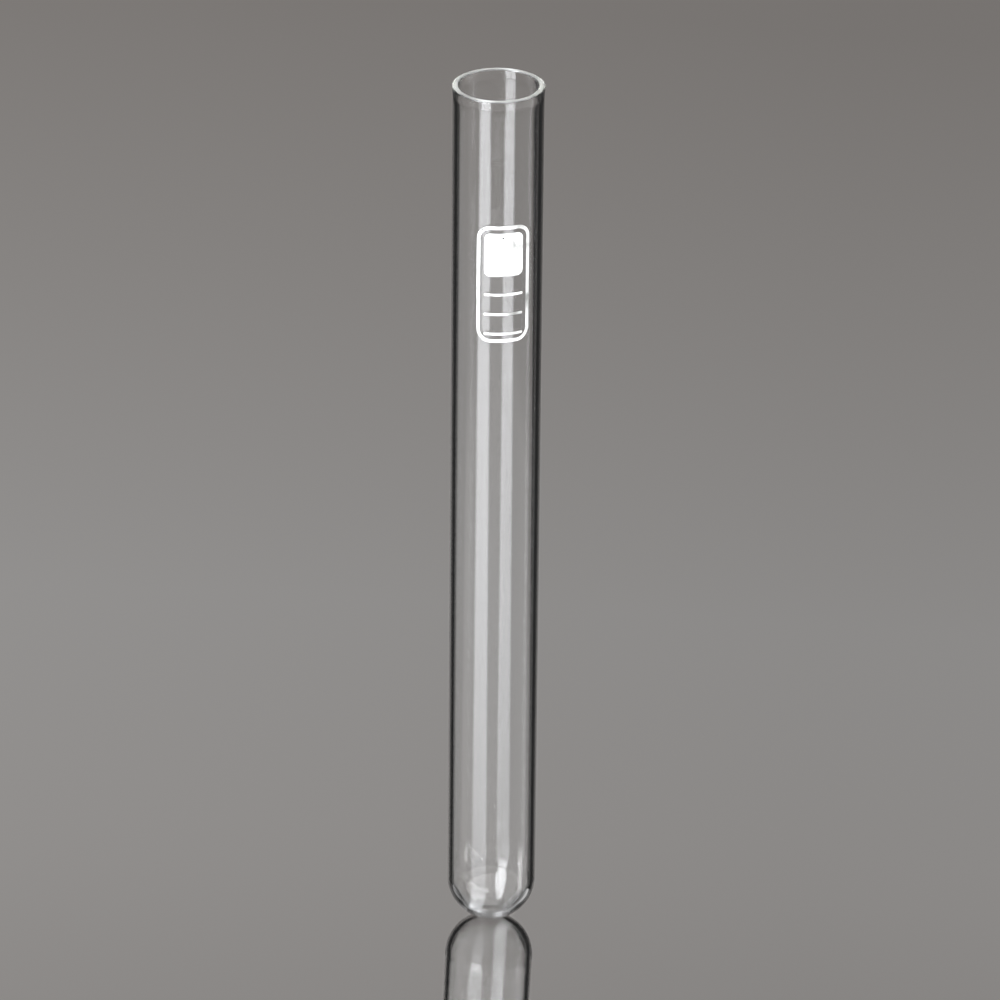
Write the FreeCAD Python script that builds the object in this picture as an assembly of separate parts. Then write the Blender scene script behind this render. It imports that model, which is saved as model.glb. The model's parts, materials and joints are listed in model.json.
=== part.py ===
"""Round-bottomed laboratory test tube with a fired enamel write-on label.

The tube is one piece of drawn borosilicate glass: a plain cylindrical wall, a round bottom of the
same thickness closed in the flame, and a slightly thickened rim with a low rounded crown. The
label is screen-printed white enamel fired onto the outside, as islands that stand a few hundredths
of a millimetre proud of the glass: a border, a solid write-on panel and ruled lines under it.

Frame: the origin is the lowest point of the round bottom, +Z runs up the axis to the mouth, and
the label faces -Y. Lengths are in millimetres and angles in degrees.
"""

import FreeCAD, Part

import math
import os

# Glass tube
OUTER_RADIUS = 7.85
OVERALL_LENGTH = 160.0
WALL = 0.9
BEAD_OUTSIDE = 0.1
BEAD_INSIDE = 0.18
BEAD_HEIGHT = 2.0
CROWN_HEIGHT = 0.2

INNER_RADIUS = OUTER_RADIUS - WALL
RIM_OUTER_RADIUS = OUTER_RADIUS + BEAD_OUTSIDE
RIM_INNER_RADIUS = INNER_RADIUS - BEAD_INSIDE
RIM_MIDDLE_RADIUS = (RIM_OUTER_RADIUS + RIM_INNER_RADIUS) / 2
BEAD_START = OVERALL_LENGTH - BEAD_HEIGHT
CROWN_START = OVERALL_LENGTH - CROWN_HEIGHT
BOTTOM_CENTRE = OUTER_RADIUS

# Enamel label: widths are measured round the wall, heights along the axis
ENAMEL_THICKNESS = 0.05
LABEL_WIDTH = 9.5
LABEL_HEIGHT = 21.6
LABEL_TOP_BELOW_MOUTH = 22.8
LABEL_CORNER = 2.4
BORDER_LINE = 0.6
BORDER_GAP = 0.75
PANEL_SHARE = 0.42
RULED_LINE_COUNT = 3
RULED_LINE = 0.45

ENAMEL_RADIUS = OUTER_RADIUS + ENAMEL_THICKNESS
LABEL_TOP = OVERALL_LENGTH - LABEL_TOP_BELOW_MOUTH
LABEL_BOTTOM = LABEL_TOP - LABEL_HEIGHT
INSET = BORDER_LINE + BORDER_GAP
FIELD_WIDTH = LABEL_WIDTH - 2 * INSET
FIELD_TOP = LABEL_TOP - INSET
FIELD_BOTTOM = LABEL_BOTTOM + INSET
PANEL_BOTTOM = FIELD_TOP - PANEL_SHARE * (FIELD_TOP - FIELD_BOTTOM)

LABEL_FACING = -90.0
AXIS_START = FreeCAD.Vector(0, 0, 0)
AXIS_DIRECTION = FreeCAD.Vector(0, 0, 1)


def at(radius, height):
    """A point of a half section, which lies in the XZ plane."""
    return FreeCAD.Vector(radius, 0, height)


def round_end(radius):
    """A quarter circle from the wall down to the axis, for the round bottom."""
    slant = radius * math.sqrt(0.5)
    return Part.Arc(
        at(radius, BOTTOM_CENTRE),
        at(slant, BOTTOM_CENTRE - slant),
        at(0, BOTTOM_CENTRE - radius),
    ).toShape()


def swell(wall_radius, rim_radius):
    """The smooth S-shaped step from the straight wall to the bead, upright at both ends."""
    reach = (CROWN_START - BEAD_START) / 2
    curve = Part.BezierCurve()
    curve.setPoles([
        at(wall_radius, BEAD_START),
        at(wall_radius, BEAD_START + reach),
        at(rim_radius, CROWN_START - reach),
        at(rim_radius, CROWN_START),
    ])
    return curve.toShape()


def crown():
    """The low rounded top of the rim: the upper half of a flat ellipse."""
    outer_end = at(RIM_OUTER_RADIUS, CROWN_START)
    top = at(RIM_MIDDLE_RADIUS, OVERALL_LENGTH)
    ellipse = Part.Ellipse(outer_end, top, at(RIM_MIDDLE_RADIUS, CROWN_START))
    return Part.ArcOfEllipse(ellipse, 0, math.pi).toShape()


def glass_tube():
    """The whole glass body, turned from one closed half section."""
    section = [
        round_end(OUTER_RADIUS),
        Part.makeLine(at(OUTER_RADIUS, BOTTOM_CENTRE), at(OUTER_RADIUS, BEAD_START)),
        swell(OUTER_RADIUS, RIM_OUTER_RADIUS),
        crown(),
        swell(INNER_RADIUS, RIM_INNER_RADIUS),
        Part.makeLine(at(INNER_RADIUS, BOTTOM_CENTRE), at(INNER_RADIUS, BEAD_START)),
        round_end(INNER_RADIUS),
        Part.makeLine(at(0, 0), at(0, WALL)),
    ]
    face = Part.Face(Part.Wire(Part.__sortEdges__(section)))
    return face.revolve(AXIS_START, AXIS_DIRECTION, 360)


def enamel_sector(width, bottom, top):
    """A square-cornered strip of enamel wrapped round the wall, centred on the label's facing."""
    angle = math.degrees(width / OUTER_RADIUS)
    section = Part.makePolygon([
        at(OUTER_RADIUS, bottom),
        at(ENAMEL_RADIUS, bottom),
        at(ENAMEL_RADIUS, top),
        at(OUTER_RADIUS, top),
        at(OUTER_RADIUS, bottom),
    ])
    sector = Part.Face(section).revolve(AXIS_START, AXIS_DIRECTION, angle)
    sector.rotate(AXIS_START, AXIS_DIRECTION, LABEL_FACING - angle / 2)
    return sector


def enamel_patch(width, bottom, top, corner):
    """A rounded rectangle of enamel: two crossed strips, and a disc at each corner."""
    film = Part.makeCylinder(ENAMEL_RADIUS, top - bottom, at(0, bottom))
    film = film.cut(Part.makeCylinder(OUTER_RADIUS, top - bottom, at(0, bottom)))
    pieces = [enamel_sector(width - 2 * corner, bottom, top)]
    for side in (-1, 1):
        angle = math.radians(LABEL_FACING) + side * (width / 2 - corner) / OUTER_RADIUS
        outward = FreeCAD.Vector(math.cos(angle), math.sin(angle), 0)
        for height in (bottom + corner, top - corner):
            disc = Part.makeCylinder(corner, 2 * OUTER_RADIUS, at(0, height), outward)
            pieces.append(disc.common(film))
    strip = enamel_sector(width, bottom + corner, top - corner)
    return strip.fuse(pieces).removeSplitter()


def label_border():
    """The line round the label: a rounded patch with a smaller rounded patch taken out."""
    outside = enamel_patch(LABEL_WIDTH, LABEL_BOTTOM, LABEL_TOP, LABEL_CORNER)
    inside = enamel_patch(
        LABEL_WIDTH - 2 * BORDER_LINE,
        LABEL_BOTTOM + BORDER_LINE,
        LABEL_TOP - BORDER_LINE,
        LABEL_CORNER - BORDER_LINE,
    )
    return outside.cut(inside)


def label_panel():
    """The solid write-on panel in the upper part of the label."""
    return enamel_patch(FIELD_WIDTH, PANEL_BOTTOM, FIELD_TOP, LABEL_CORNER - INSET)


def label_lines():
    """The ruled lines under the panel, as one group of separate solids."""
    spacing = (PANEL_BOTTOM - FIELD_BOTTOM) / RULED_LINE_COUNT
    lines = []
    for index in range(RULED_LINE_COUNT):
        bottom = FIELD_BOTTOM + index * spacing
        lines.append(enamel_patch(FIELD_WIDTH, bottom, bottom + RULED_LINE, RULED_LINE / 3))
    return Part.makeCompound(lines)


PARTS = {
    "glass_tube": glass_tube,
    "label_border": label_border,
    "label_panel": label_panel,
    "label_lines": label_lines,
}


def main():
    """Writes one STEP file per part."""
    os.makedirs("parts", exist_ok=True)
    for node, make in PARTS.items():
        make().exportStep(os.path.join("parts", node + ".step"))


main()
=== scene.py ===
"""A clear glass test tube with a fired white enamel label, upright over a plain glossy studio floor.

Every length is in metres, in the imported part's frame: the origin is the lowest point of the round
bottom, +Z runs up the axis to the mouth, and the label faces -Y.
"""

import json
import math

import bpy
import numpy as np
from mathutils import Matrix, Vector


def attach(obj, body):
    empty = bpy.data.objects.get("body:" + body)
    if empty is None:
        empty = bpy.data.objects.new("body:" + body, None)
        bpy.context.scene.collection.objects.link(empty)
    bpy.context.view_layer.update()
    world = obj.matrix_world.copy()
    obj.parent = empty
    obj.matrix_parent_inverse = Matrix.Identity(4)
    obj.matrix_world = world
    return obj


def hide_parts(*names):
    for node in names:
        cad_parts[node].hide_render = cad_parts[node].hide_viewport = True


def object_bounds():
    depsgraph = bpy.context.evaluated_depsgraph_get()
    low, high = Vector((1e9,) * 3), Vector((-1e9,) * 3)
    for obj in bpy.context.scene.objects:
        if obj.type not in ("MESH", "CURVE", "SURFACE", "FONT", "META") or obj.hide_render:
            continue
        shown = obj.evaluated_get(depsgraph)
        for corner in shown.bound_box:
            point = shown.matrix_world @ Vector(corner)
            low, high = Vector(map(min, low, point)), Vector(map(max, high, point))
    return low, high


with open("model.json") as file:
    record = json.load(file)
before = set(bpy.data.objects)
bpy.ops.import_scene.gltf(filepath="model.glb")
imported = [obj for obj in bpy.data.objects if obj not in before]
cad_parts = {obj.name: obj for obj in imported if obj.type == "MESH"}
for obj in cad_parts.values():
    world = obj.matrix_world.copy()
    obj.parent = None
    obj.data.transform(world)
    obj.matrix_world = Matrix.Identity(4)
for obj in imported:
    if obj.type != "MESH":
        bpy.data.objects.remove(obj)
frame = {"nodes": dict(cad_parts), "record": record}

CAD_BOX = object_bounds()
MM = 0.001


# ---------------------------------------------------------------- sizes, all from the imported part

def mount(name):
    """One of the record's mounts."""
    return next(m for m in frame["record"]["mounts"] if m["name"] == name)


def mount_radius(name):
    """A round mount's radius."""
    return mount(name)["dims"]["r_mm"] * MM


def mount_length(name):
    """A round mount's length."""
    return mount(name)["dims"]["length_mm"] * MM


GLASS_POINTS = [vertex.co for vertex in frame["nodes"]["glass_tube"].data.vertices]
LENGTH = CAD_BOX[1].z
OUTER = mount_radius("outer_wall")
INNER = mount_radius("mouth_bore")
BEAD_START = OUTER + mount_length("outer_wall")
INNER_BOTTOM_CENTRE = BEAD_START - mount_length("mouth_bore")
RIM_OUTER = CAD_BOX[1].x
RIM_INNER = min(math.hypot(p.x, p.y) for p in GLASS_POINTS if p.z > BEAD_START)
# the crown starts where the glass is widest
CROWN_START = max((math.hypot(p.x, p.y), p.z) for p in GLASS_POINTS)[1]
RIM_MIDDLE = (RIM_OUTER + RIM_INNER) / 2
RIM_HALF_WIDTH = (RIM_OUTER - RIM_INNER) / 2
CROWN_HEIGHT = LENGTH - CROWN_START


# ---------------------------------------------------------------- shader node helpers

def new_tree(name):
    """A new material that uses nodes, and its node tree."""
    material = bpy.data.materials.new(name)
    material.use_nodes = True
    return material, material.node_tree


def connect(tree, socket, value):
    """Gives a socket a number, or links another node's output to it."""
    if isinstance(value, (int, float)):
        socket.default_value = value
    else:
        tree.links.new(value, socket)


def math_node(tree, operation, first, second=None, third=None):
    """One arithmetic step on up to three values."""
    node = tree.nodes.new("ShaderNodeMath")
    node.operation = operation
    for socket, value in zip(node.inputs, (first, second, third)):
        if value is not None:
            connect(tree, socket, value)
    return node.outputs[0]


def product(tree, *values):
    """Several values multiplied together."""
    total = values[0]
    for value in values[1:]:
        total = math_node(tree, "MULTIPLY", total, value)
    return total


def degrees_node(tree, angle):
    """An angle in degrees, from one in radians."""
    return math_node(tree, "MULTIPLY", angle, 180 / math.pi)


def ramp(tree, factor, stops):
    """A colour or a grey that runs straight between stops, which are (position, value) pairs."""
    node = tree.nodes.new("ShaderNodeValToRGB")
    tree.links.new(factor, node.inputs[0])
    elements = node.color_ramp.elements
    while len(elements) < len(stops):
        elements.new(0.5)
    for element, (position, value) in zip(elements, stops):
        element.position = position
        element.color = (value, value, value, 1) if isinstance(value, float) else (*value, 1)
    return node.outputs[0]


def elevation_ramp(tree, elevation, stops):
    """A ramp over elevation in degrees, from level to straight up."""
    return ramp(tree, math_node(tree, "DIVIDE", elevation, 90.0), [(e / 90, v) for e, v in stops])


def ease_node(tree, value, low, high):
    """A smooth step from 0 at low to 1 at high, either of which may be the larger."""
    node = tree.nodes.new("ShaderNodeMapRange")
    node.interpolation_type = "SMOOTHSTEP"
    connect(tree, node.inputs["Value"], value)
    connect(tree, node.inputs["From Min"], low)
    connect(tree, node.inputs["From Max"], high)
    return node.outputs[0]


def mix_node(tree, share, first, second):
    """A colour that is the first where share is 0 and the second where it is 1."""
    node = tree.nodes.new("ShaderNodeMix")
    node.data_type = "RGBA"
    tree.links.new(share, node.inputs["Factor"])
    for socket, value in ((node.inputs[6], first), (node.inputs[7], second)):
        if isinstance(value, float):
            socket.default_value = (value, value, value, 1)
        else:
            tree.links.new(value, socket)
    return node.outputs[2]


def noise_node(tree, where, scale, detail):
    """Noise in object space; scale is in features per metre."""
    node = tree.nodes.new("ShaderNodeTexNoise")
    tree.links.new(where.outputs["Object"], node.inputs["Vector"])
    node.inputs["Scale"].default_value = scale
    node.inputs["Detail"].default_value = detail
    return node.outputs[0]


def split_node(tree, vector):
    """A vector's x, y and z."""
    node = tree.nodes.new("ShaderNodeSeparateXYZ")
    tree.links.new(vector, node.inputs[0])
    return node.outputs


def channels_node(tree, colour):
    """A colour's red, green and blue."""
    node = tree.nodes.new("ShaderNodeSeparateColor")
    tree.links.new(colour, node.inputs[0])
    return node.outputs


# ---------------------------------------------------------------- mesh helpers

def new_mesh(name, vertices, faces, smooth):
    """A mesh from its vertices and faces."""
    mesh = bpy.data.meshes.new(name)
    mesh.from_pydata([tuple(v) for v in vertices], [], faces)
    mesh.update()
    for polygon in mesh.polygons:
        polygon.use_smooth = smooth
    return mesh


def add(name, mesh, material):
    """Links a mesh to the scene as a new object with one material."""
    piece = bpy.data.objects.new(name, mesh)
    bpy.context.scene.collection.objects.link(piece)
    piece.data.materials.append(material)
    return piece


# ---------------------------------------------------------------- the glass body

# steps along each stretch of the half section, and round the axis
BOTTOM_STEPS = 32
WALL_STEPS = 120
BEAD_STEPS = 16
CROWN_STEPS = 32
SEGMENTS = 256
# the share of the step up to the bead that is rounded at each end
FLARE_BEND = 0.12


def flare(t):
    """A blend from 0 to 1 that is straight but for short rounded ends."""
    slope = 1 / (1 - FLARE_BEND)
    if t < FLARE_BEND:
        return slope * t * t / (2 * FLARE_BEND)
    if t > 1 - FLARE_BEND:
        return 1 - slope * (1 - t) ** 2 / (2 * FLARE_BEND)
    return slope * (t - FLARE_BEND / 2)


def steps(start, end, count):
    """Evenly spaced values up to the end, leaving out the start."""
    return np.linspace(start, end, count + 1)[1:]


def section():
    """The tube's half section as (radius, height) points, from the outer pole to the inner pole."""
    points = [(0.0, 0.0)]
    for t in steps(0, math.pi / 2, BOTTOM_STEPS):
        points.append((OUTER * math.sin(t), OUTER * (1 - math.cos(t))))
    for z in steps(OUTER, BEAD_START, WALL_STEPS):
        points.append((OUTER, z))
    rise = CROWN_START - BEAD_START
    for t in steps(0, 1, BEAD_STEPS):
        points.append((OUTER + (RIM_OUTER - OUTER) * flare(t), BEAD_START + rise * t))
    for t in steps(0, math.pi, CROWN_STEPS):
        radius = RIM_MIDDLE + RIM_HALF_WIDTH * math.cos(t)
        points.append((radius, CROWN_START + CROWN_HEIGHT * math.sin(t)))
    for t in steps(1, 0, BEAD_STEPS):
        points.append((INNER + (RIM_INNER - INNER) * flare(t), BEAD_START + rise * t))
    for z in steps(BEAD_START, INNER_BOTTOM_CENTRE, WALL_STEPS):
        points.append((INNER, z))
    for t in steps(math.pi / 2, 0, BOTTOM_STEPS):
        points.append((INNER * math.sin(t), INNER_BOTTOM_CENTRE - INNER * math.cos(t)))
    return np.array(points)


def turned_mesh(name, points):
    """A closed mesh turned about Z from a half section whose first and last points are on the axis."""
    rings = points[1:-1]
    angle = np.linspace(0, 2 * math.pi, SEGMENTS, endpoint=False)
    x = np.outer(rings[:, 0], np.cos(angle))
    y = np.outer(rings[:, 0], np.sin(angle))
    z = np.repeat(rings[:, 1:2], SEGMENTS, axis=1)
    vertices = np.stack([x, y, z], axis=-1).reshape(-1, 3)
    poles = np.array([[0, 0, points[0][1]], [0, 0, points[-1][1]]])
    vertices = np.concatenate([vertices, poles])
    outer_pole = len(vertices) - 2
    inner_pole = len(vertices) - 1
    last_ring = (len(rings) - 1) * SEGMENTS
    faces = []
    for j in range(SEGMENTS):
        k = (j + 1) % SEGMENTS
        faces.append((outer_pole, k, j))
        for ring in range(0, last_ring, SEGMENTS):
            above = ring + SEGMENTS
            faces.append((ring + j, ring + k, above + k, above + j))
        faces.append((inner_pole, last_ring + j, last_ring + k))
    return new_mesh(name, vertices, faces, True)


GLASS_IOR = 1.473
ABSORB = (0.95, 0.965, 0.9, 1)
ABSORB_DENSITY = 3.0
# the satin on the crown: its roughness, how far down it reaches, and how its edge wanders
SATIN_ROUGHNESS = 0.6
SATIN_DEPTH = 0.055 * MM
SATIN_BLEND = 0.06 * MM
SATIN_WOBBLE = 0.15 * MM
SATIN_WOBBLE_SCALE = 700.0


def glass_material():
    """Clear borosilicate glass whose ground crown is satin, with a slightly uneven edge."""
    material, tree = new_tree("glass")
    shader = tree.nodes["Principled BSDF"]
    shader.inputs["Base Color"].default_value = (1, 1, 1, 1)
    shader.inputs["Transmission Weight"].default_value = 1.0
    shader.inputs["IOR"].default_value = GLASS_IOR
    where = tree.nodes.new("ShaderNodeTexCoord")
    height = split_node(tree, where.outputs["Object"])[2]
    wobble = noise_node(tree, where, SATIN_WOBBLE_SCALE, 3.0)
    height = math_node(tree, "MULTIPLY_ADD", wobble, SATIN_WOBBLE, height)
    # noise averages one half, so the edge is raised by half the wobble to make up for it
    edge = LENGTH - SATIN_DEPTH + SATIN_WOBBLE / 2
    satin = ease_node(tree, height, edge - SATIN_BLEND / 2, edge + SATIN_BLEND / 2)
    tree.links.new(math_node(tree, "MULTIPLY", satin, SATIN_ROUGHNESS), shader.inputs["Roughness"])
    absorb = tree.nodes.new("ShaderNodeVolumeAbsorption")
    absorb.inputs["Color"].default_value = ABSORB
    absorb.inputs["Density"].default_value = ABSORB_DENSITY
    tree.links.new(absorb.outputs[0], tree.nodes["Material Output"].inputs["Volume"])
    return material


glass = add("glass_body", turned_mesh("glass_body", section()), glass_material())
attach(glass, "root")
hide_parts("glass_tube")


# ---------------------------------------------------------------- the enamel label

# the cloud of thin patches, the fine grain, and the cells that may each hold one pinhole
ENAMEL_THIN = (0.24, 0.24, 0.23)
ENAMEL_WHITE = (0.78, 0.78, 0.765)
CLOUD_SCALE = 350.0
GRAIN_SCALE = 6000.0
GRAIN_HEIGHT = 0.01 * MM
GRAIN_STRENGTH = 0.25
PINHOLE_SCALE = 600.0
PINHOLE_TONE = 0.05
# in cell widths
PINHOLE_REACH = 0.24
PINHOLE_EDGE = (-0.12, -0.07)
ENAMEL_SMOOTHEST = 0.38
ENAMEL_ROUGHEST = 0.55


def pinhole_node(tree, where):
    """0 inside a pinhole and 1 outside; a cell's random red sets its size, and low ones have none."""
    cells = tree.nodes.new("ShaderNodeTexVoronoi")
    tree.links.new(where.outputs["Object"], cells.inputs["Vector"])
    cells.inputs["Scale"].default_value = PINHOLE_SCALE
    red = channels_node(tree, cells.outputs["Color"])[0]
    reach = math_node(tree, "MULTIPLY_ADD", red, -PINHOLE_REACH, cells.outputs["Distance"])
    return ease_node(tree, reach, *PINHOLE_EDGE)


def enamel_material():
    """White fired enamel with thin patches, a few pinholes, a fine grain and uneven gloss."""
    material, tree = new_tree("enamel")
    shader = tree.nodes["Principled BSDF"]
    where = tree.nodes.new("ShaderNodeTexCoord")
    cloud = noise_node(tree, where, CLOUD_SCALE, 4.0)
    grain = noise_node(tree, where, GRAIN_SCALE, 2.0)
    tone = ramp(tree, cloud, [(0.3, ENAMEL_THIN), (0.5, ENAMEL_WHITE)])
    colour = mix_node(tree, pinhole_node(tree, where), PINHOLE_TONE, tone)
    tree.links.new(colour, shader.inputs["Base Color"])
    gloss = tree.nodes.new("ShaderNodeMapRange")
    tree.links.new(cloud, gloss.inputs["Value"])
    gloss.inputs["To Min"].default_value = ENAMEL_SMOOTHEST
    gloss.inputs["To Max"].default_value = ENAMEL_ROUGHEST
    tree.links.new(gloss.outputs[0], shader.inputs["Roughness"])
    bump = tree.nodes.new("ShaderNodeBump")
    bump.inputs["Strength"].default_value = GRAIN_STRENGTH
    bump.inputs["Distance"].default_value = GRAIN_HEIGHT
    tree.links.new(grain, bump.inputs["Height"])
    tree.links.new(bump.outputs[0], shader.inputs["Normal"])
    return material


enamel = enamel_material()
for name in ("label_border", "label_panel", "label_lines"):
    slots = frame["nodes"][name].data.materials
    slots.clear()
    slots.append(enamel)


# ---------------------------------------------------------------- the satin skin on the rim

SATIN_LOW = (0.62, 0.615, 0.56)
SATIN_HIGH = (0.95, 0.95, 0.90)
SATIN_TONE_SCALE = 900.0
SATIN_SKIN_ROUGHNESS = 0.5
SATIN_ALPHA = 0.15
SATIN_LIFT = 0.008 * MM
SATIN_COLUMNS = 720
SATIN_ROWS = 13
SATIN_SEED = 5
# angles round the crown's half ellipse: where the skin starts, how far its edge wanders, its limits
SATIN_START = 1.05
SATIN_WANDER = 0.16
SATIN_LEAST = 0.15
SATIN_MOST = 1.4
# wobbles per turn that make up each edge
OUTER_LOBES = (5, 9, 17, 31, 53, 83, 121)
INNER_LOBES = (4, 11, 19, 29, 47, 79, 113)


def satin_material():
    """The whitish, mottled, mostly transparent look of ground glass."""
    material, tree = new_tree("satin")
    shader = tree.nodes["Principled BSDF"]
    shader.inputs["Roughness"].default_value = SATIN_SKIN_ROUGHNESS
    shader.inputs["Alpha"].default_value = SATIN_ALPHA
    where = tree.nodes.new("ShaderNodeTexCoord")
    mottle = noise_node(tree, where, SATIN_TONE_SCALE, 3.0)
    tone = ramp(tree, mottle, [(0.35, SATIN_LOW), (0.65, SATIN_HIGH)])
    tree.links.new(tone, shader.inputs["Base Color"])
    return material


def wander(rng, angle, lobes):
    """A smooth closed curve of random wobbles round the rim."""
    total = np.zeros_like(angle)
    for count in lobes:
        total += rng.normal() * np.sin(count * angle + rng.uniform(0, 2 * math.pi))
    return SATIN_WANDER * total / math.sqrt(len(lobes))


def satin_mesh():
    """A thin skin over the crown with a ragged outline."""
    rng = np.random.default_rng(SATIN_SEED)
    angle = np.linspace(0, 2 * math.pi, SATIN_COLUMNS, endpoint=False)
    outer = SATIN_START + wander(rng, angle, OUTER_LOBES)
    inner = math.pi - SATIN_START + wander(rng, angle, INNER_LOBES)
    outer = np.clip(outer, SATIN_LEAST, SATIN_MOST)
    inner = np.clip(inner, math.pi - SATIN_MOST, math.pi - SATIN_LEAST)
    rows = []
    for share in np.linspace(0, 1, SATIN_ROWS):
        t = outer + (inner - outer) * share
        radius = RIM_MIDDLE + (RIM_HALF_WIDTH + SATIN_LIFT) * np.cos(t)
        z = CROWN_START + (CROWN_HEIGHT + SATIN_LIFT) * np.sin(t)
        rows.append(np.stack([radius * np.cos(angle), radius * np.sin(angle), z], axis=-1))
    faces = []
    for row in range(0, (SATIN_ROWS - 1) * SATIN_COLUMNS, SATIN_COLUMNS):
        above = row + SATIN_COLUMNS
        for j in range(SATIN_COLUMNS):
            k = (j + 1) % SATIN_COLUMNS
            faces.append((row + j, row + k, above + k, above + j))
    return new_mesh("rim_satin", np.concatenate(rows), faces, True)


satin = add("rim_satin", satin_mesh(), satin_material())
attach(satin, "root")


# ---------------------------------------------------------------- camera

# angles in degrees; azimuth 0 looks along +Y
CAMERA_AZIMUTH = -9.0
CAMERA_ELEVATION = 25.59
CAMERA_ROLL = -0.555
CAMERA_DISTANCE = 1.291
# in millimetres, as Blender's camera takes them
SENSOR_WIDTH = 36.0
FOCAL_LENGTH = 267.0
AIM_HEIGHT = 0.08197
AIM_RIGHT = 0.00092


def add_camera():
    """A long-lens camera above and in front of the tube, rolled very slightly."""
    data = bpy.data.cameras.new("camera")
    data.sensor_width = SENSOR_WIDTH
    data.lens = FOCAL_LENGTH
    camera = bpy.data.objects.new("camera", data)
    bpy.context.scene.collection.objects.link(camera)
    azimuth = math.radians(CAMERA_AZIMUTH)
    elevation = math.radians(CAMERA_ELEVATION)
    roll = math.radians(CAMERA_ROLL)
    level = math.cos(elevation)
    back = Vector((math.sin(azimuth) * level, -math.cos(azimuth) * level, math.sin(elevation)))
    right = Vector((math.cos(azimuth), math.sin(azimuth), 0))
    up = back.cross(right)
    x_axis = math.cos(roll) * right - math.sin(roll) * up
    y_axis = math.sin(roll) * right + math.cos(roll) * up
    turn = Matrix((x_axis, y_axis, back)).transposed()
    aim = Vector((0, 0, AIM_HEIGHT)) + right * AIM_RIGHT
    camera.matrix_world = Matrix.Translation(aim + back * CAMERA_DISTANCE) @ turn.to_4x4()
    bpy.context.scene.camera = camera
    return camera


camera = add_camera()


# ---------------------------------------------------------------- studio

def add_turntable():
    """An empty on the tube's axis that turns so that its -Y always faces the camera."""
    empty = bpy.data.objects.new("turntable", None)
    bpy.context.scene.collection.objects.link(empty)
    track = empty.constraints.new("LOCKED_TRACK")
    track.target = camera
    track.track_axis = "TRACK_NEGATIVE_Y"
    track.lock_axis = "LOCK_Z"
    return empty


# the whole studio turns with this, so the tube is lit the same way from every side
turntable = add_turntable()


# the floor: a perfectly smooth grey mirror, a little below the tube and leaning to one side
FLOOR_HALF_SIDE = 4.0
FLOOR_DROP = 0.25 * MM
FLOOR_LEAN = 1.2
# how much it reflects of a ray at the camera's elevation, in degrees, and of one straight down
FLOOR_SHINE = 0.35
FLOOR_SHINE_DOWN = 0.2
FLOOR_SHINE_ELEVATION = 26.0
FLOOR_SHINE_POWER = 1.5
FLOOR_FACING = 1 - math.sin(math.radians(FLOOR_SHINE_ELEVATION))


def shine_at(elevation):
    """The floor's reflectance for a ray that leaves it at this elevation."""
    facing = (1 - math.sin(math.radians(elevation))) / FLOOR_FACING
    return FLOOR_SHINE_DOWN + (FLOOR_SHINE - FLOOR_SHINE_DOWN) * facing ** FLOOR_SHINE_POWER


def floor_material():
    """The same reflectance as shine_at, in nodes."""
    material, tree = new_tree("floor")
    tree.nodes.clear()
    out = tree.nodes.new("ShaderNodeOutputMaterial")
    facing = tree.nodes.new("ShaderNodeLayerWeight")
    facing.inputs["Blend"].default_value = 0.5
    shine = math_node(tree, "DIVIDE", facing.outputs["Facing"], FLOOR_FACING)
    shine = math_node(tree, "POWER", shine, FLOOR_SHINE_POWER)
    shine = math_node(tree, "MULTIPLY_ADD", shine, FLOOR_SHINE - FLOOR_SHINE_DOWN, FLOOR_SHINE_DOWN)
    glossy = tree.nodes.new("ShaderNodeBsdfGlossy")
    tree.links.new(shine, glossy.inputs["Color"])
    glossy.inputs["Roughness"].default_value = 0.0
    tree.links.new(glossy.outputs[0], out.inputs["Surface"])
    return material


def add_floor():
    """A square floor on the turntable."""
    s = FLOOR_HALF_SIDE
    corners = [(-s, -s, 0), (s, -s, 0), (s, s, 0), (-s, s, 0)]
    floor = add("floor", new_mesh("floor", corners, [(0, 1, 2, 3)], False), floor_material())
    floor.parent = turntable
    floor.location.z = -FLOOR_DROP
    floor.rotation_euler.y = math.radians(FLOOR_LEAN)


add_floor()


# the surroundings: a soft sheet behind the tube, a dark flag at each side, the room in front, and a
# narrow softbox at the right; all angles in degrees

# the sheet: elevation, the brightness that the camera sees there in the floor, and its warmth
SEEN = [
    (0.0, 0.17, 1.07), (21.7, 0.181, 1.07), (24.0, 0.223, 1.05), (26.4, 0.268, 1.03),
    (28.3, 0.262, 1.04), (29.5, 0.244, 1.045), (33.0, 0.24, 1.04), (40.0, 0.23, 1.0),
]
WARM_BLUE_POWER = 0.7
# the brightness overhead, and the elevation it starts at
TOP = 0.9
TOP_START = 54.0
# how much brighter the sheet gets per degree to the left, and how far out that goes on
ACROSS = 0.013
ACROSS_END = 4.0
# the flags: elevation, inner edge and outer edge, from straight behind the tube
LEFT_FLAG = [
    (0, 15, 70), (22, 16.5, 75), (25.6, 19, 58), (29.5, 21.8, 54),
    (33, 16, 40), (38, 13, 33), (43, 17, 36), (50, 23, 44),
]
RIGHT_FLAG = [
    (0, 12, 75), (22, 12.5, 82), (25.6, 17.5, 70), (29.5, 23, 64),
    (33, 15, 40), (38, 10, 33), (43, 16, 36), (50, 23, 44),
]
# how soft the inner edge is, how far the outer edge fades, and where the flags end at the top
FLAG_EDGE = 4.0
FLAG_FADE = 6.0
FLAG_TOP = 52.0
FLAG_TOP_SOFT = 2.0
DARK = 0.05
# the room in front, and the brighter right-hand part of it, which begins at the first bearing and
# elevation of each pair and is full at the second; bearings run from the camera's side, and the left
# is positive
FRONT = 0.86
FRONT_RIGHT = 1.9
FRONT_RIGHT_ACROSS = (45.0, 5.0)
FRONT_RIGHT_UP = (22.2, 23.0)
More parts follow.
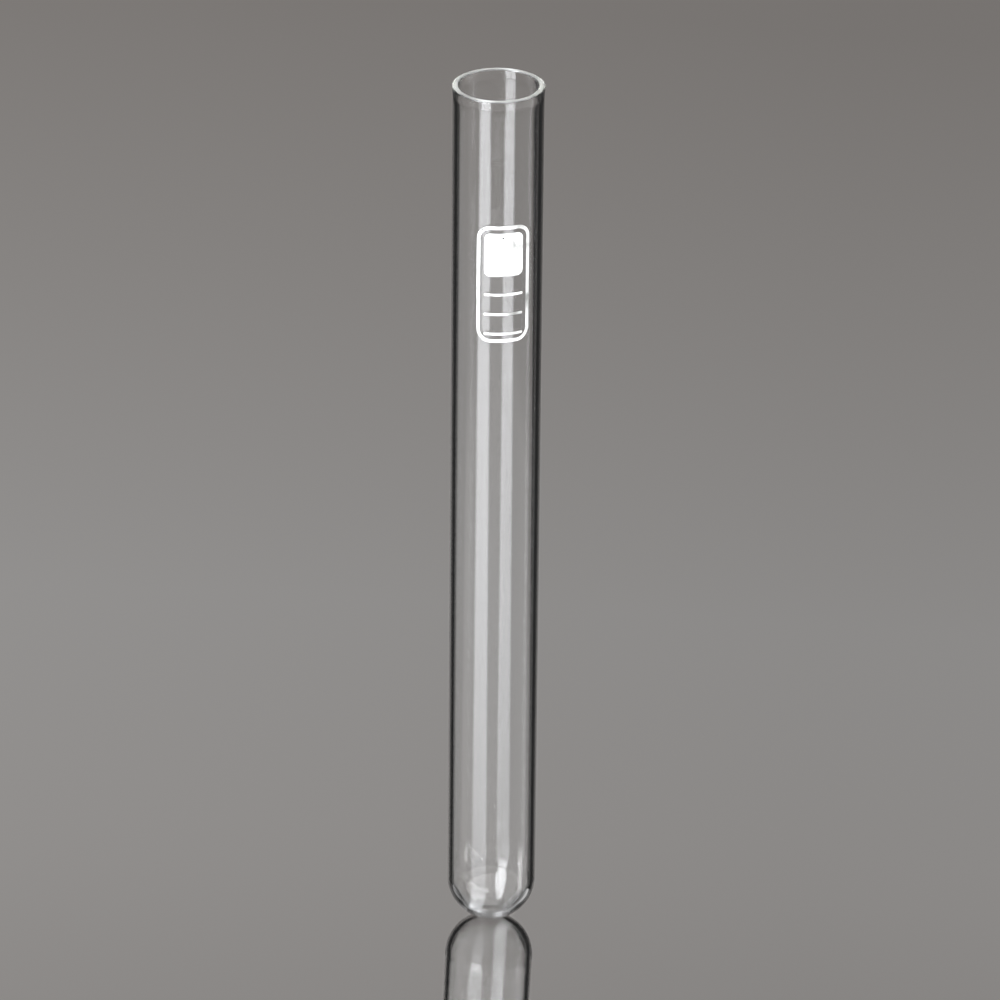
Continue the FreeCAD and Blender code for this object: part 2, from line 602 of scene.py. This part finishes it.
# the narrow softbox: the bearings of its two sides, the elevations of its lower and upper edge, and
# how soft each is
SIDE_STRENGTH = 12.0
SIDE_NEAR = -79.0
SIDE_FAR = -89.0
SIDE_SOFT = 2.0
SIDE_LOW = 25.9
SIDE_LOW_SOFT = 0.08
SIDE_HIGH = 27.8
SIDE_HIGH_SOFT = 0.3


def sheet_light(tree, elevation, left):
    """The sheet behind the tube, from the brightness wanted in the floor and the floor's shine."""
    stops = []
    for degrees, seen, warmth in SEEN:
        level = seen / shine_at(degrees)
        stops.append((degrees, (level * warmth, level, level / warmth ** WARM_BLUE_POWER)))
    stops += [(TOP_START, TOP), (90.0, TOP)]
    near_back = math_node(tree, "MAXIMUM", left, -ACROSS_END)
    near_back = math_node(tree, "MINIMUM", near_back, ACROSS_END)
    scaled = tree.nodes.new("ShaderNodeVectorMath")
    scaled.operation = "SCALE"
    tree.links.new(elevation_ramp(tree, elevation, stops), scaled.inputs[0])
    across = math_node(tree, "MULTIPLY_ADD", near_back, ACROSS, 1.0)
    tree.links.new(across, scaled.inputs["Scale"])
    return scaled.outputs[0]


def flag(tree, azimuth, elevation, edges):
    """Whether a direction is beyond a flag's inner edge, and whether it is past its outer edge."""
    stops = [(degrees, (inner / 90, outer / 90, 0.0)) for degrees, inner, outer in edges]
    inner, outer = channels_node(tree, elevation_ramp(tree, elevation, stops))[:2]
    beyond_inner = math_node(tree, "MULTIPLY_ADD", inner, -90.0, azimuth)
    beyond_outer = math_node(tree, "MULTIPLY_ADD", outer, -90.0, azimuth)
    inside = ease_node(tree, beyond_inner, -FLAG_EDGE / 2, FLAG_EDGE / 2)
    return inside, ease_node(tree, beyond_outer, 0.0, FLAG_FADE)


def room_light(tree, bearing, elevation):
    """The room in front of the tube, past the flags."""
    beside = ease_node(tree, bearing, *FRONT_RIGHT_ACROSS)
    above = ease_node(tree, elevation, *FRONT_RIGHT_UP)
    return mix_node(tree, product(tree, beside, above), FRONT, FRONT_RIGHT)


def side_softbox(tree, bearing, elevation):
    """Where the narrow softbox is: a bright strip at the right, just in front of the tube."""
    near = ease_node(tree, bearing, SIDE_NEAR, SIDE_NEAR - SIDE_SOFT)
    far = ease_node(tree, bearing, SIDE_FAR, SIDE_FAR + SIDE_SOFT)
    low = ease_node(tree, elevation, SIDE_LOW - SIDE_LOW_SOFT, SIDE_LOW + SIDE_LOW_SOFT)
    high = ease_node(tree, elevation, SIDE_HIGH + SIDE_HIGH_SOFT, SIDE_HIGH - SIDE_HIGH_SOFT)
    return product(tree, near, far, low, high)


def add_world():
    """The studio's surroundings, by direction, seen from the turntable."""
    world = bpy.data.worlds.new("studio")
    bpy.context.scene.world = world
    world.use_nodes = True
    tree = world.node_tree
    where = tree.nodes.new("ShaderNodeTexCoord")
    where.object = turntable
    x, y, z = split_node(tree, where.outputs["Object"])
    elevation = degrees_node(tree, math_node(tree, "ARCSINE", z))
    right = degrees_node(tree, math_node(tree, "ARCTAN2", x, y))
    left = math_node(tree, "MULTIPLY", right, -1.0)
    minus_x = math_node(tree, "MULTIPLY", x, -1.0)
    minus_y = math_node(tree, "MULTIPLY", y, -1.0)
    bearing = degrees_node(tree, math_node(tree, "ARCTAN2", minus_x, minus_y))
    in_left, past_left = flag(tree, left, elevation, LEFT_FLAG)
    in_right, past_right = flag(tree, right, elevation, RIGHT_FLAG)
    inside = math_node(tree, "MAXIMUM", in_left, in_right)
    front = math_node(tree, "MAXIMUM", past_left, past_right)
    below = ease_node(tree, elevation, FLAG_TOP + FLAG_TOP_SOFT, FLAG_TOP - FLAG_TOP_SOFT)
    dark = product(tree, inside, math_node(tree, "SUBTRACT", 1.0, front), below)
    sheet = sheet_light(tree, elevation, left)
    light = mix_node(tree, front, sheet, room_light(tree, bearing, elevation))
    light = mix_node(tree, dark, light, DARK)
    light = mix_node(tree, side_softbox(tree, bearing, elevation), light, SIDE_STRENGTH)
    tree.links.new(light, tree.nodes["Background"].inputs["Color"])
    tree.nodes["Background"].inputs["Strength"].default_value = 1.0


add_world()


# the arch: a long softbox bent over the tube, from the floor in front to a little behind it; its
# widths are shares of its radius, measured to the left of the tube
ARCH_RADIUS = 0.9
ARCH_START = 2.0
ARCH_END = 108.0
ARCH_STEPS = 48
ARCH_INNER = 0.05
ARCH_OUTER = 1.05
ARCH_STRENGTH = 11.0
ARCH_TINT = (0.95, 0.97, 1.0, 1)
# elevation in degrees, relative brightness, near edge, softness of that edge
ARCH_SHAPE = [
    (13.9, 1.6, 0.37, 0.15), (15.4, 1.55, 0.31, 0.15), (21.7, 1.4, 0.265, 0.16),
    (27.2, 1.0, 0.215, 0.12), (29.3, 0.75, 0.23, 0.06), (31.5, 1.2, 0.24, 0.06),
    (36.0, 1.35, 0.22, 0.06),
]
# brightness is halved in the ramp, whose colours are kept under 1
ARCH_SCALE = 2.0
# angle round the arch in degrees, far edge
ARCH_FAR = [(45.0, 0.98), (62.0, 0.84), (76.0, 0.67), (90.0, 0.60), (98.0, 0.52), (106.0, 0.42)]
ARCH_FAR_SOFT = 0.10


def arch_material():
    """Light between the near and the far edge, and nothing at all outside them."""
    material, tree = new_tree("arch_light")
    tree.nodes.clear()
    out = tree.nodes.new("ShaderNodeOutputMaterial")
    place = tree.nodes.new("ShaderNodeTexCoord").outputs["Object"]
    x, y, z = split_node(tree, place)
    share = math_node(tree, "DIVIDE", x, -ARCH_RADIUS)
    distance = tree.nodes.new("ShaderNodeVectorMath")
    distance.operation = "LENGTH"
    tree.links.new(place, distance.inputs[0])
    sine = math_node(tree, "DIVIDE", z, distance.outputs["Value"])
    elevation = degrees_node(tree, math_node(tree, "ARCSINE", sine))
    stops = [(e, (level / ARCH_SCALE, edge, soft)) for e, level, edge, soft in ARCH_SHAPE]
    level, near_edge, soft = channels_node(tree, elevation_ramp(tree, elevation, stops))
    reach = math_node(tree, "MULTIPLY", soft, 0.5)
    near = math_node(tree, "SUBTRACT", share, near_edge)
    near = ease_node(tree, near, math_node(tree, "MULTIPLY", reach, -1.0), reach)
    forward = math_node(tree, "MULTIPLY", y, -1.0)
    along = math_node(tree, "DIVIDE", math_node(tree, "ARCTAN2", z, forward), math.pi)
    far_edge = ramp(tree, along, [(degrees / 180, edge) for degrees, edge in ARCH_FAR])
    far = math_node(tree, "SUBTRACT", share, far_edge)
    far = ease_node(tree, far, ARCH_FAR_SOFT / 2, -ARCH_FAR_SOFT / 2)
    light = tree.nodes.new("ShaderNodeEmission")
    light.inputs["Color"].default_value = ARCH_TINT
    strength = math_node(tree, "MULTIPLY", level, ARCH_SCALE * ARCH_STRENGTH)
    tree.links.new(strength, light.inputs["Strength"])
    clear = tree.nodes.new("ShaderNodeBsdfTransparent")
    mix = tree.nodes.new("ShaderNodeMixShader")
    tree.links.new(product(tree, near, far), mix.inputs[0])
    tree.links.new(clear.outputs[0], mix.inputs[1])
    tree.links.new(light.outputs[0], mix.inputs[2])
    tree.links.new(mix.outputs[0], out.inputs["Surface"])
    return material


def add_arch():
    """The arch's curved strip, on the turntable, left of the camera."""
    vertices = []
    for angle in np.radians(np.linspace(ARCH_START, ARCH_END, ARCH_STEPS + 1)):
        y = -ARCH_RADIUS * math.cos(angle)
        z = ARCH_RADIUS * math.sin(angle)
        vertices.append((-ARCH_INNER * ARCH_RADIUS, y, z))
        vertices.append((-ARCH_OUTER * ARCH_RADIUS, y, z))
    faces = [(i, i + 1, i + 3, i + 2) for i in range(0, 2 * ARCH_STEPS, 2)]
    arch = add("arch_light", new_mesh("arch_light", vertices, faces, False), arch_material())
    arch.parent = turntable


add_arch()


# ---------------------------------------------------------------- light paths and the end

# light crosses and bounces inside the glass wall many times before it gets out
BOUNCES = 96
CLEAR_BOUNCES = 64

scene = bpy.context.scene
scene.view_settings.view_transform = "Standard"
scene.cycles.max_bounces = BOUNCES
scene.cycles.transmission_bounces = BOUNCES
scene.cycles.glossy_bounces = BOUNCES
scene.cycles.transparent_max_bounces = CLEAR_BOUNCES
